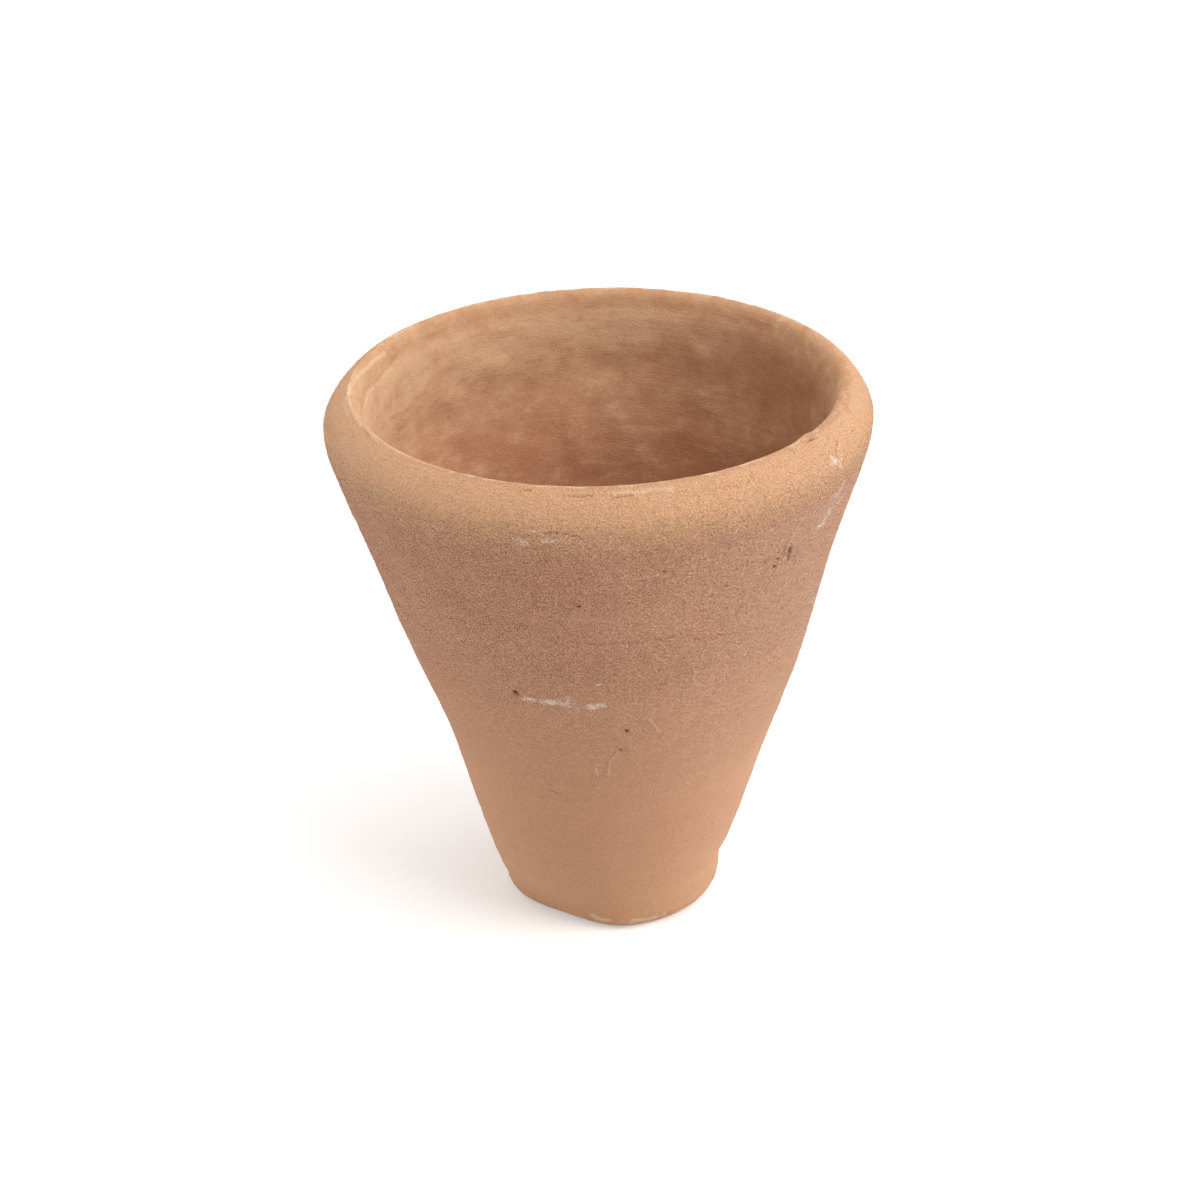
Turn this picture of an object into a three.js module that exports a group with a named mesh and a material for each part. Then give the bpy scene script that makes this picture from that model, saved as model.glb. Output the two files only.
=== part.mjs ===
// A small hand-thrown terracotta cone pot for one seedling: a tapered wall with a rolled rim,
// a bevelled mouth, a rounded foot and a drain hole in the floor. It is one piece of fired clay.
// Millimetres, +Z up. The origin is the middle of the resting face, where the pot stands.

import * as THREE from 'three';
import { mergeVertices } from 'three/addons/utils/BufferGeometryUtils.js';

const { degToRad, lerp, smoothstep } = THREE.MathUtils;

// Overall size. The rim is a little oval, as it came off the wheel.
const HEIGHT = 76.2; // 3 inches
const RIM_WIDTH = 71.2; // the wide way, along X
const RIM_DEPTH = 69.85; // the narrow way, along Y, 2.75 inches

// Rolled rim, from its widest line up to the crest and over to the mouth's edge
const ROLL_DROP = 4.4; // crest down to the widest line
const ROLL_UNDERSIDE = 3.3; // widest line down to the top of the tapered wall
const ROLL_STEP = 0.4; // how far the roll stands out past the top of the wall
const CREST_INSET = 3.4; // widest line in to the crest
const BEVEL_WIDTH = 2.1; // crest in to the mouth's edge
const BEVEL_DROP = 2.2; // crest down to the mouth's edge

// Wall and floor
const WALL = 4.6; // measured level, below the rim
const RIM_THINNING = 12; // depth in which the thick rim thins down to the wall
const FLOOR = 7;
const FLOOR_FILLET = 4;

// Foot and drain hole
const FOOT_WIDTH = 29.2; // at the top of the rounded edge
const FOOT_ROUNDING = 3.2; // height of the rounded edge
const REST_WIDTH = 24; // flat face that the pot stands on
const DRAIN_WIDTH = 7;
const DRAIN_EDGE = 0.6; // worn rounding at both ends of the hole

// Slow swells that the fingers left in the wall
const SWELL = 0.17;
const SWELL_PITCH = 30; // from one swell to the next
const SWELL_HEIGHT = 41; // where one swell is fullest

// Bow of the centre line along X
const BOW = 0.36;
const BOW_PITCH = 64; // height of one full wave
const BOW_START = 16; // where the centre line crosses its mean

// Flat side of the foot, pressed when the soft pot was set down
const FLAT = 1.6;
const FLAT_TOP = 10; // height where it has faded out
const FLAT_ANGLE = degToRad(236);
const FLAT_SPAN = degToRad(46); // to each side of its middle

// Shallow groove above the foot, where it was cut from the wheel
const GROOVE = 0.5;
const GROOVE_HEIGHT = 6.1;
const GROOVE_REACH = 3; // above and below its middle
const GROOVE_ANGLE = degToRad(-15);
const GROOVE_SPAN = degToRad(75);

// Roundness of a corner: 2 is a quarter ellipse, and nearer 1 it is a chamfer
const ROUND = 2;
const CHAMFERED = 1.35;

// How finely the turn and the outline are divided
const AROUND = 64;
const WALL_STEPS = 16;
const CORNER_STEPS = 6;
const SMALL_CORNER_STEPS = 4;

const rimRadius = (RIM_WIDTH + RIM_DEPTH) / 4;
const oval = (RIM_WIDTH - RIM_DEPTH) / (RIM_WIDTH + RIM_DEPTH);
const footRadius = FOOT_WIDTH / 2;
const restRadius = REST_WIDTH / 2;
const drainRadius = DRAIN_WIDTH / 2;
const crestRadius = rimRadius - CREST_INSET;
const mouthRadius = crestRadius - BEVEL_WIDTH;
const mouthHeight = HEIGHT - BEVEL_DROP;
const widestHeight = HEIGHT - ROLL_DROP;
const wallTop = widestHeight - ROLL_UNDERSIDE;
const taper = (rimRadius - ROLL_STEP - footRadius) / (wallTop - FOOT_ROUNDING);

const at = (radius, height) => new THREE.Vector2(radius, height);

// Radius of the outer wall at a height. The taper carries on past its ends, the swells don't.
function wallRadius(height) {
  const up = THREE.MathUtils.clamp((height - FOOT_ROUNDING) / (wallTop - FOOT_ROUNDING), 0, 1);
  const wave = Math.cos(2 * Math.PI * (height - SWELL_HEIGHT) / SWELL_PITCH);
  return footRadius + taper * (height - FOOT_ROUNDING) + SWELL * wave * 4 * up * (1 - up);
}

// Radius of the inner wall, which follows the outer one and closes in under the mouth's edge
function cavityRadius(height) {
  const rimWall = wallRadius(mouthHeight) - mouthRadius;
  const thickening = smoothstep(height, mouthHeight - RIM_THINNING, mouthHeight);
  return wallRadius(height) - lerp(WALL, rimWall, thickening);
}

// Points round a corner, from where it is upright to where it is level
function corner(upright, level, roundness, steps) {
  const points = [];
  for (let i = 0; i <= steps; i += 1) {
    const turn = (i / steps) * (Math.PI / 2);
    const across = 1 - Math.cos(turn) ** (2 / roundness);
    const along = Math.sin(turn) ** (2 / roundness);
    points.push(at(lerp(upright.x, level.x, across), lerp(upright.y, level.y, along)));
  }
  return points;
}

// Points along a wall between two heights, the first height left out
function wallPoints(radiusAt, from, to) {
  const points = [];
  for (let i = 1; i <= WALL_STEPS; i += 1) {
    const height = lerp(from, to, i / WALL_STEPS);
    points.push(at(radiusAt(height), height));
  }
  return points;
}

// From the resting face up the outside to the crest
function outerOutline() {
  const foot = corner(at(footRadius, FOOT_ROUNDING), at(restRadius, 0), ROUND, CORNER_STEPS);
  const wall = wallPoints(wallRadius, FOOT_ROUNDING, wallTop);
  const turnHeight = Math.min(wallTop + ROLL_STEP / taper, widestHeight);
  const underside = new THREE.QuadraticBezierCurve(
    at(rimRadius - ROLL_STEP, wallTop),
    at(rimRadius, turnHeight),
    at(rimRadius, widestHeight),
  ).getPoints(SMALL_CORNER_STEPS);
  const shoulder = corner(
    at(rimRadius, widestHeight),
    at(crestRadius, HEIGHT),
    CHAMFERED,
    CORNER_STEPS,
  );
  return [...foot.reverse(), ...wall, ...underside.slice(1), ...shoulder.slice(1)];
}

// From below the crest down the inside to the floor
function innerOutline() {
  const bevel = corner(
    at(mouthRadius, mouthHeight),
    at(crestRadius, HEIGHT),
    CHAMFERED,
    SMALL_CORNER_STEPS,
  );
  const room = cavityRadius(FLOOR) - drainRadius - DRAIN_EDGE;
  const fillet = Math.min(FLOOR_FILLET, room / 2);
  const filletTop = FLOOR + fillet;
  const wall = wallPoints(cavityRadius, mouthHeight, filletTop);
  const floorEdge = corner(
    at(cavityRadius(filletTop), filletTop),
    at(cavityRadius(filletTop) - fillet, FLOOR),
    ROUND,
    CORNER_STEPS,
  );
  return [...bevel.reverse().slice(1), ...wall, ...floorEdge.slice(1)];
}

// From the floor down through the drain hole to the resting face
function drainOutline() {
  const edge = Math.min(DRAIN_EDGE, FLOOR / 2);
  const upper = corner(
    at(drainRadius, FLOOR - edge),
    at(drainRadius + edge, FLOOR),
    ROUND,
    SMALL_CORNER_STEPS,
  );
  const lower = corner(at(drainRadius, edge), at(drainRadius + edge, 0), ROUND, SMALL_CORNER_STEPS);
  return [...upper.reverse(), ...lower];
}

// 1 at the middle of a span, falling smoothly to 0 at its ends
function fade(distance, reach) {
  return 1 - smoothstep(Math.abs(distance), 0, reach);
}

// The smaller turn between two directions
function turnBetween(a, b) {
  const turn = Math.abs(a - b) % (2 * Math.PI);
  return Math.min(turn, 2 * Math.PI - turn);
}

// How much clay the hand took off the outside at a direction and height
function handmadeLoss(angle, height) {
  const flat = FLAT * fade(height, FLAT_TOP) * fade(turnBetween(angle, FLAT_ANGLE), FLAT_SPAN);
  const groove = GROOVE * fade(height - GROOVE_HEIGHT, GROOVE_REACH)
    * fade(turnBetween(angle, GROOVE_ANGLE), GROOVE_SPAN);
  return flat + groove;
}

function buildPot() {
  const outer = outerOutline();
  const outline = [...outer, ...innerOutline(), ...drainOutline()];
  outline.push(outline[0].clone());
  const turned = new THREE.LatheGeometry(outline, AROUND);
  turned.rotateX(Math.PI / 2);
  const positions = turned.attributes.position;
  const point = new THREE.Vector3();
  for (let i = 0; i < positions.count; i += 1) {
    point.fromBufferAttribute(positions, i);
    const place = i % outline.length;
    const outside = place < outer.length || place === outline.length - 1;
    const angle = Math.atan2(point.y, point.x);
    const loss = outside ? handmadeLoss(angle, point.z) : 0;
    const radius = Math.hypot(point.x, point.y) - loss;
    const bow = BOW * Math.sin(2 * Math.PI * (point.z - BOW_START) / BOW_PITCH);
    point.x = radius * Math.cos(angle) * (1 + oval) + bow;
    point.y = radius * Math.sin(angle) * (1 - oval);
    positions.setXYZ(i, point.x, point.y, point.z);
  }
  turned.deleteAttribute('normal');
  turned.deleteAttribute('uv');
  const closed = mergeVertices(turned, 0.001);
  closed.computeVertexNormals();
  return closed;
}

const terracotta = new THREE.MeshStandardMaterial({
  color: 0xbf8c6c,
  roughness: 0.9,
  metalness: 0,
});

const pot = new THREE.Mesh(buildPot(), terracotta);
pot.name = 'pot';

const planter = new THREE.Group();
planter.add(pot);

export default planter;
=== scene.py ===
# %% [markdown]
# # A small hand-thrown terracotta cone pot
#
# The real object is one piece of red clay: a cone thrown on a wheel, with a rolled rim, fired
# without a glaze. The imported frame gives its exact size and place. This lesson builds the clay
# again with its finger marks, scars, sand and lime, in metres, in the frame's own place.

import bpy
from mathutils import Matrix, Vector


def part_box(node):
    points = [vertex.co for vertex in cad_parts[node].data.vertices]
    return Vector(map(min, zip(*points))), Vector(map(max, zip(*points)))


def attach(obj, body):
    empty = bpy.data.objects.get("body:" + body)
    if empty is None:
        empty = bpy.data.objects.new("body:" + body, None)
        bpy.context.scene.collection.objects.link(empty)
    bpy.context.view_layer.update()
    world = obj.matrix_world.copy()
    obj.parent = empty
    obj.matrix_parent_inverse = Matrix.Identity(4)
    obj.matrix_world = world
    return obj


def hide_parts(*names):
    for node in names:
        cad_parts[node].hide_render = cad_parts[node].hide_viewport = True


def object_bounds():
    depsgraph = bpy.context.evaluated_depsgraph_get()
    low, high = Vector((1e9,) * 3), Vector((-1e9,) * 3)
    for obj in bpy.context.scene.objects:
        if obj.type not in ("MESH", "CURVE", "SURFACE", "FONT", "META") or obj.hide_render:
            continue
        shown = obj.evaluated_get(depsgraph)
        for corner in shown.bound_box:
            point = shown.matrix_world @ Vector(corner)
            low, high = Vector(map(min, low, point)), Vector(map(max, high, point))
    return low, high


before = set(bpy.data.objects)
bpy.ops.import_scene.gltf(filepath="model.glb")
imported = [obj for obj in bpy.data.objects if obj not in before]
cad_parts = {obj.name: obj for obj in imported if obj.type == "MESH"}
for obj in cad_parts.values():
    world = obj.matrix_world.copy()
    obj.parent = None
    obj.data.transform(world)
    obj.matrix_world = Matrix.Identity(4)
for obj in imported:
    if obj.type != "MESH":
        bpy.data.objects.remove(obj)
frame_low, frame_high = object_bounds()
print("frame box, mm:", [round(side * 1000, 2) for side in frame_high - frame_low])

# %% [markdown]
# ## Tools for the whole lesson
#
# The maker's sizes are easier to read in millimetres, so one number turns them to metres. A
# colour is written as a screen shows it and made linear once, here. Node trees are long, so one
# small function adds a node, sets what it needs and links what feeds it.

# %% Units, colours and nodes
import math
import random

import bmesh
import bpy
import numpy as np
from mathutils import Matrix, Vector
from mathutils.bvhtree import BVHTree
from mathutils.kdtree import KDTree

MM = 0.001


def linear(screen_colour):
    """A colour as a screen shows it, such as c8946f, in the linear numbers that a shader wants."""
    parts = [int(screen_colour[i:i + 2], 16) / 255 for i in (0, 2, 4)]
    return (*[p / 12.92 if p <= 0.04045 else ((p + 0.055) / 1.055) ** 2.4 for p in parts], 1.0)


def add_node(tree, kind, feeds=(), **settings):
    """Adds a node to a tree, with its settings, and gives each named input its value or link.

    The inputs are named, or given as a row from the first one on. An input is fed by a plain
    value, by another node's output, or by a node, which means its first output.
    """
    node = tree.nodes.new(kind)
    for name, value in settings.items():
        setattr(node, name, value)
    for name, value in feeds.items() if isinstance(feeds, dict) else enumerate(feeds):
        if isinstance(value, bpy.types.Node):
            value = value.outputs[0]
        if isinstance(value, bpy.types.NodeSocket):
            tree.links.new(value, node.inputs[name])
        else:
            node.inputs[name].default_value = value
    return node


def add_object(name, data):
    """Puts a new object into the scene."""
    thing = bpy.data.objects.new(name, data)
    bpy.context.scene.collection.objects.link(thing)
    return thing


# %% [markdown]
# ## The camera
#
# The camera stands where the photographer's did: a little above the rim and about 40 cm off,
# looking down at the pot. A long lens keeps the cone from looking stretched. The place, the
# tilt and the lens were found by laying the pot's outline over the photograph.

# %% Camera
PHOTO_SIZE = 1200
CAMERA_PLACE = Vector((0.3, -355.9, 232.8)) * MM
CAMERA_PITCH = math.radians(27.944)
CAMERA_YAW = math.radians(-0.169)
CAMERA_ROLL = math.radians(1.732)
FOCAL_PIXELS = 3012.4
SENSOR_WIDTH = 36.0
NEAREST_SEEN = 10 * MM

level_ahead = Vector((math.sin(CAMERA_YAW), math.cos(CAMERA_YAW), 0))
ahead = level_ahead * math.cos(CAMERA_PITCH) - Vector((0, 0, math.sin(CAMERA_PITCH)))
level_right = Vector((math.cos(CAMERA_YAW), -math.sin(CAMERA_YAW), 0))
level_up = level_right.cross(ahead)
camera_right = level_right * math.cos(CAMERA_ROLL) - level_up * math.sin(CAMERA_ROLL)
camera_up = level_right * math.sin(CAMERA_ROLL) + level_up * math.cos(CAMERA_ROLL)

camera_data = bpy.data.cameras.new("camera")
camera_data.sensor_width = SENSOR_WIDTH
camera_data.lens = FOCAL_PIXELS / PHOTO_SIZE * SENSOR_WIDTH
camera_data.clip_start = NEAREST_SEEN
camera = add_object("camera", camera_data)
camera.matrix_world = Matrix.Translation(CAMERA_PLACE) @ Matrix(
    (camera_right, camera_up, -ahead)
).transposed().to_4x4()
bpy.context.scene.camera = camera
bpy.context.scene.view_settings.view_transform = "Standard"
print("lens, mm:", round(camera_data.lens, 2))


def sight_line(across, down):
    """The direction in which the camera sees one pixel of the photograph."""
    middle = PHOTO_SIZE / 2
    return (
        ahead
        + camera_right * ((across - middle) / FOCAL_PIXELS)
        - camera_up * ((down - middle) / FOCAL_PIXELS)
    ).normalized()


# %% [markdown]
# ## Light and floor
#
# The photograph was taken in soft studio light: a large pale source at the right that also
# reaches the left of the inside, a broad one overhead that brightens the top of the roll, and
# white paper under the pot that throws light back up at the foot. Area lamps give the soft
# sources, and three low cards lift both edges of the wall and the front of the foot. The world
# gives the rest of the room, and the paper is a real floor, so the pot keeps its own soft
# shadow. The world and the paper are made white for the camera alone.

# %% Lamps and world
LAMPS = {
    # place and size in metres, power in watts
    "side_softbox": {"place": (0.52, -0.33, 0.62), "size": 0.55, "power": 4.2},
    "top_softbox": {"place": (0.08, 0.0, 0.85), "size": 0.7, "power": 3.4},
    "back_card": {"place": (-0.52, 0.12, 0.04), "size": 0.26, "power": 2.0},
    "right_card": {"place": (0.55, 0.02, 0.06), "size": 0.35, "power": 1.2},
    "low_card": {"place": (-0.10, -0.44, 0.02), "size": 0.3, "power": 0.28},
}
LAMP_TARGET = Vector((0, 0, 0.04))
ROOM_LIGHT = 0.45
WHITE = (1, 1, 1, 1)
PAPER = linear("efeeec")
PAPER_HALF_WIDTH = 0.7
PAPER_DROP = 0.05 * MM  # below the foot, so that the two don't share a plane
PAPER_LIFT = 0.32  # added for the camera alone, so that lit paper reads as white

for name, lamp in LAMPS.items():
    light = bpy.data.lights.new(name, "AREA")
    light.shape = "SQUARE"
    light.size = lamp["size"]
    light.energy = lamp["power"]
    holder = add_object(name, light)
    holder.location = lamp["place"]
    holder.rotation_euler = (LAMP_TARGET - holder.location).to_track_quat("-Z", "Y").to_euler()
    holder.visible_camera = False  # a lamp lights the pot and isn't in the picture

world = bpy.data.worlds.new("studio")
bpy.context.scene.world = world
world.use_nodes = True
world.node_tree.nodes.clear()
ray = add_node(world.node_tree, "ShaderNodeLightPath")
mirrored = add_node(
    world.node_tree, "ShaderNodeMath",
    (ray.outputs["Is Glossy Ray"], ray.outputs["Is Transmission Ray"]), operation="MAXIMUM",
)
seen = add_node(
    world.node_tree, "ShaderNodeMath",
    (ray.outputs["Is Camera Ray"], mirrored), operation="MAXIMUM",
)
room = add_node(world.node_tree, "ShaderNodeBackground", {"Color": WHITE, "Strength": ROOM_LIGHT})
white = add_node(world.node_tree, "ShaderNodeBackground", {"Color": WHITE, "Strength": 1.0})
either = add_node(world.node_tree, "ShaderNodeMixShader", (seen, room, white))
add_node(world.node_tree, "ShaderNodeOutputWorld", {"Surface": either})
print("lamps:", ", ".join(LAMPS))


# %% A floor of white paper
def bare_material(name):
    """A new material with an empty node tree."""
    material = bpy.data.materials.new(name)
    material.use_nodes = True
    material.node_tree.nodes.clear()
    return material


paper_material = bare_material("white_studio_paper")
paper_tree = paper_material.node_tree
ray = add_node(paper_tree, "ShaderNodeLightPath")
lift = add_node(
    paper_tree, "ShaderNodeMath", (ray.outputs["Is Camera Ray"], PAPER_LIFT), operation="MULTIPLY"
)
matt = add_node(paper_tree, "ShaderNodeBsdfDiffuse", {"Color": PAPER})
glow = add_node(paper_tree, "ShaderNodeEmission", {"Strength": lift})
paper_surface = add_node(paper_tree, "ShaderNodeAddShader", (matt, glow))
add_node(paper_tree, "ShaderNodeOutputMaterial", {"Surface": paper_surface})

paper_mesh = bpy.data.meshes.new("paper_floor")
corners = [(-1, -1), (1, -1), (1, 1), (-1, 1)]
paper_mesh.from_pydata(
    [(x * PAPER_HALF_WIDTH, y * PAPER_HALF_WIDTH, -PAPER_DROP) for x, y in corners],
    [], [(0, 1, 2, 3)],
)
paper_mesh.materials.append(paper_material)
paper_floor = add_object("paper_floor", paper_mesh)
print("paper floor, m:", 2 * PAPER_HALF_WIDTH, "wide")

# %% [markdown]
# ## The outline of the pot
#
# A thrown pot is a turned shape, so its whole form is one outline carried round the wheel's
# axis. The outline is drawn here from the potter's sizes, in millimetres, with the overall
# sizes taken from the frame. It runs from the foot up the outside, over the roll, down the
# inside, and out through the drain hole. Points lie closer together where the eye looks.

# %% Sizes of the pot, in millimetres
pot_low, pot_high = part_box("pot")
HEIGHT = (pot_high.z - pot_low.z) / MM
RIM_WIDTH = (pot_high.x - pot_low.x) / MM
RIM_DEPTH = (pot_high.y - pot_low.y) / MM

ROLL_DROP = 4.4
ROLL_UNDERSIDE = 3.3
ROLL_STEP = 0.4
CREST_INSET = 3.4
BEVEL_WIDTH = 2.1
BEVEL_DROP = 2.2
WALL = 4.6
RIM_THINNING = 12
FLOOR = 7
FLOOR_FILLET = 4
FOOT_WIDTH = 29.2
FOOT_ROUNDING = 3.2
REST_WIDTH = 24
DRAIN_WIDTH = 7
DRAIN_EDGE = 0.6
SWELL = 0.17
SWELL_PITCH = 30
SWELL_HEIGHT = 41
ROUND = 2
CHAMFERED = 1.35

rim_radius = (RIM_WIDTH + RIM_DEPTH) / 4
oval = (RIM_WIDTH - RIM_DEPTH) / (RIM_WIDTH + RIM_DEPTH)
crest_radius = rim_radius - CREST_INSET
mouth_radius = crest_radius - BEVEL_WIDTH
mouth_height = HEIGHT - BEVEL_DROP
widest_height = HEIGHT - ROLL_DROP
wall_top = widest_height - ROLL_UNDERSIDE
taper = (rim_radius - ROLL_STEP - FOOT_WIDTH / 2) / (wall_top - FOOT_ROUNDING)
print("rim radius, mm:", round(rim_radius, 3), "oval:", round(oval, 4))


def wall_radius(height):
    """Radius of the outer wall, with the slow swells that the fingers left."""
    up = np.clip((height - FOOT_ROUNDING) / (wall_top - FOOT_ROUNDING), 0, 1)
    wave = np.cos(2 * np.pi * (height - SWELL_HEIGHT) / SWELL_PITCH)
    return FOOT_WIDTH / 2 + taper * (height - FOOT_ROUNDING) + SWELL * wave * 4 * up * (1 - up)


def smooth(value, low, high):
    """0 below low, 1 above high, and an S-shaped climb between."""
    t = np.clip((value - low) / (high - low), 0, 1)
    return t * t * (3 - 2 * t)


def cavity_radius(height):
    """Radius of the inner wall, which closes in under the mouth's edge."""
    rim_wall = wall_radius(mouth_height) - mouth_radius
    thick = WALL + (rim_wall - WALL) * smooth(height, mouth_height - RIM_THINNING, mouth_height)
    return wall_radius(height) - thick


CORNER_POINTS = 25


def corner(upright, level, roundness):
    """Points round a corner, from where the line is upright to where it is level."""
    turn = np.linspace(0, np.pi / 2, CORNER_POINTS)
    across = 1 - np.abs(np.cos(turn)) ** (2 / roundness)
    along = np.sin(turn) ** (2 / roundness)
    return np.column_stack((
        upright[0] + (level[0] - upright[0]) * across,
        upright[1] + (level[1] - upright[1]) * along,
    ))


def even(line, spacing):
    """The same line with its points an even distance apart, without its last point."""
    steps = np.hypot(*np.diff(line, axis=0).T)
    length = np.concatenate(([0], np.cumsum(steps)))
    count = max(2, round(length[-1] / spacing))
    wanted = np.linspace(0, length[-1], count + 1)[:-1]
    return np.column_stack([np.interp(wanted, length, line[:, i]) for i in (0, 1)])


# %% Draw the outline
SPACING = {
    # millimetres from one point to the next
    "outside": 0.54, "roll": 0.38, "bevel": 0.32, "inside": 1.4, "floor": 1.1, "under": 1.1,
}
WALL_POINTS = 200
BEND_POINTS = 20

drain_radius = DRAIN_WIDTH / 2
wall_heights = np.linspace(FOOT_ROUNDING, wall_top, WALL_POINTS)
foot = corner((FOOT_WIDTH / 2, FOOT_ROUNDING), (REST_WIDTH / 2, 0), ROUND)[::-1]
outer_wall = np.column_stack((wall_radius(wall_heights), wall_heights))
bend = np.linspace(0, 1, BEND_POINTS)[:, None]
roll_start = np.array((rim_radius - ROLL_STEP, wall_top))
roll_turn = np.array((rim_radius, min(wall_top + ROLL_STEP / taper, widest_height)))
roll_end = np.array((rim_radius, widest_height))
underside = (1 - bend) ** 2 * roll_start + 2 * bend * (1 - bend) * roll_turn + bend ** 2 * roll_end
shoulder = corner((rim_radius, widest_height), (crest_radius, HEIGHT), CHAMFERED)
bevel = corner((mouth_radius, mouth_height), (crest_radius, HEIGHT), CHAMFERED)[::-1]

floor_width = cavity_radius(FLOOR) - drain_radius - DRAIN_EDGE
fillet = min(FLOOR_FILLET, floor_width / 2)
fillet_top = FLOOR + fillet
cavity_heights = np.linspace(mouth_height, fillet_top, WALL_POINTS)
cavity = np.column_stack((cavity_radius(cavity_heights), cavity_heights))
floor_start = cavity_radius(fillet_top)
floor_edge = corner((floor_start, fillet_top), (floor_start - fillet, FLOOR), ROUND)
drain_top = corner((drain_radius, FLOOR - DRAIN_EDGE), (drain_radius + DRAIN_EDGE, FLOOR), ROUND)
drain_foot = corner((drain_radius, DRAIN_EDGE), (drain_radius + DRAIN_EDGE, 0), ROUND)

stretches = [
    ("outside", foot), ("outside", outer_wall), ("roll", underside), ("roll", shoulder),
    ("bevel", bevel), ("inside", cavity), ("floor", floor_edge),
    ("floor", np.array((floor_edge[-1], drain_top[-1]))), ("floor", drain_top[::-1]),
    ("floor", np.array((drain_top[0], drain_foot[0]))), ("floor", drain_foot),
    ("under", np.array((drain_foot[-1], foot[0]))),
]
outline, stretch_names = [], []
for name, line in stretches:
    points = even(line, SPACING[name])
    outline.extend(points)
    stretch_names.extend([name] * len(points))
outline = np.array(outline)
stretch_names = np.array(stretch_names)

print("points in the outline:", len(outline))

# %% Soften the outline under the mouth's edge
# the finger that made the bevel left no sharp line under it
SOFTEST_INWARD = 0.3  # from the mouth's edge, in millimetres
SOFTEST_DROP = 1.6
SOFTENING_REACH = 3.0
SOFTENING_ROUNDS = 40
softest = (mouth_radius - SOFTEST_INWARD, mouth_height - SOFTEST_DROP)
for _ in range(SOFTENING_ROUNDS):
    near = np.exp(-(np.hypot(*(outline - softest).T) / SOFTENING_REACH) ** 4)
    middle = (np.roll(outline, 1, axis=0) + np.roll(outline, -1, axis=0)) / 2
    outline += (middle - outline) * near[:, None] / 2
print("softened for", SOFTENING_ROUNDS, "rounds")

# %% [markdown]
# ## What each part of the outline is
#
# Later steps treat the outside, the roll, the lip, the inside and the resting face in their own
# ways. Each point of the outline carries a number from 0 to 1 for each of these, and the sweep
# hands the numbers on to the whole pot, where the shader can read them too.

# %% Give the outline its zones
EDGE_WIDTH = 0.6  # of the crest and the mouth's edge, in millimetres
FINGERS_FULL, FINGERS_GONE = 7, 0.5  # depths under the mouth's edge
ROLL_BEGINS = 2.5  # depth under the top of the wall
BEVEL_FULL, BEVEL_GONE = 0.05, 1.4  # detours from the bevel's own line
STANDING_FULL, STANDING_GONE = 0.02, 1.2  # heights

on_outside = np.isin(stretch_names, ("outside", "roll"))
under_share = (outline[:, 0] - drain_foot[-1, 0]) / (foot[0, 0] - drain_foot[-1, 0])
outside = np.where(on_outside, 1.0, np.where(stretch_names == "under", under_share, 0.0))
inside = np.isin(stretch_names, ("bevel", "inside", "floor")).astype(float)
fingers_end = smooth(outline[:, 1], mouth_height - FINGERS_FULL, mouth_height - FINGERS_GONE)
fingered = inside * (1 - fingers_end)
roll = smooth(outline[:, 1], wall_top - ROLL_BEGINS, widest_height)
roll[np.isin(stretch_names, ("inside", "floor"))] = 0
from_crest = np.hypot(outline[:, 0] - crest_radius, outline[:, 1] - HEIGHT)
from_mouth = np.hypot(outline[:, 0] - mouth_radius, outline[:, 1] - mouth_height)
crest = np.exp(-(from_crest / EDGE_WIDTH) ** 2)
bevel_line = math.hypot(BEVEL_WIDTH, BEVEL_DROP)
bevelled = 1 - smooth(from_crest + from_mouth, bevel_line + BEVEL_FULL, bevel_line + BEVEL_GONE)
lip = np.maximum(crest, np.exp(-(from_mouth / EDGE_WIDTH) ** 2))
standing = 1 - smooth(outline[:, 1], STANDING_FULL, STANDING_GONE)
standing[~np.isin(stretch_names, ("outside", "under"))] = 0
zones = {
    "from_axis": outline[:, 0] * MM, "up": outline[:, 1] * MM, "outside": outside,
    "inside": inside, "fingered": fingered, "roll": roll, "crest": crest, "bevel": bevelled,
    "lip": lip, "standing": standing,
}
print("zones:", ", ".join(zones))


# %% Make the outline a mesh that carries its zones
def write_zone(mesh, name, values):
    """Keeps one number for each point of a mesh, under a name that a tree or shader can read."""
    layer = mesh.attributes.new(name, "FLOAT", "POINT")
    layer.data.foreach_set("value", values.astype(np.float32))


outline_mesh = bpy.data.meshes.new("pot_outline")
count = len(outline)
outline_mesh.from_pydata(
    [(r * MM, 0, z * MM) for r, z in outline], [(i, (i + 1) % count) for i in range(count)], []
)
for name, values in zones.items():
    write_zone(outline_mesh, name, values)
print("points of the outline mesh:", len(outline_mesh.vertices))

# %% [markdown]
# ## The turned pot
#
# Geometry Nodes carry the outline round a circle. The circle's points know their own turn, and
# each point of the skin is then set from its radius, height and turn. In the same place the pot
# is made a little oval, its centre line is bowed, its foot leans and is pressed flat on one
# side, and a groove is cut above it, as the hand did. Last come the finger lines, in stretched
# noise: long round the pot and short up it.

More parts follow.
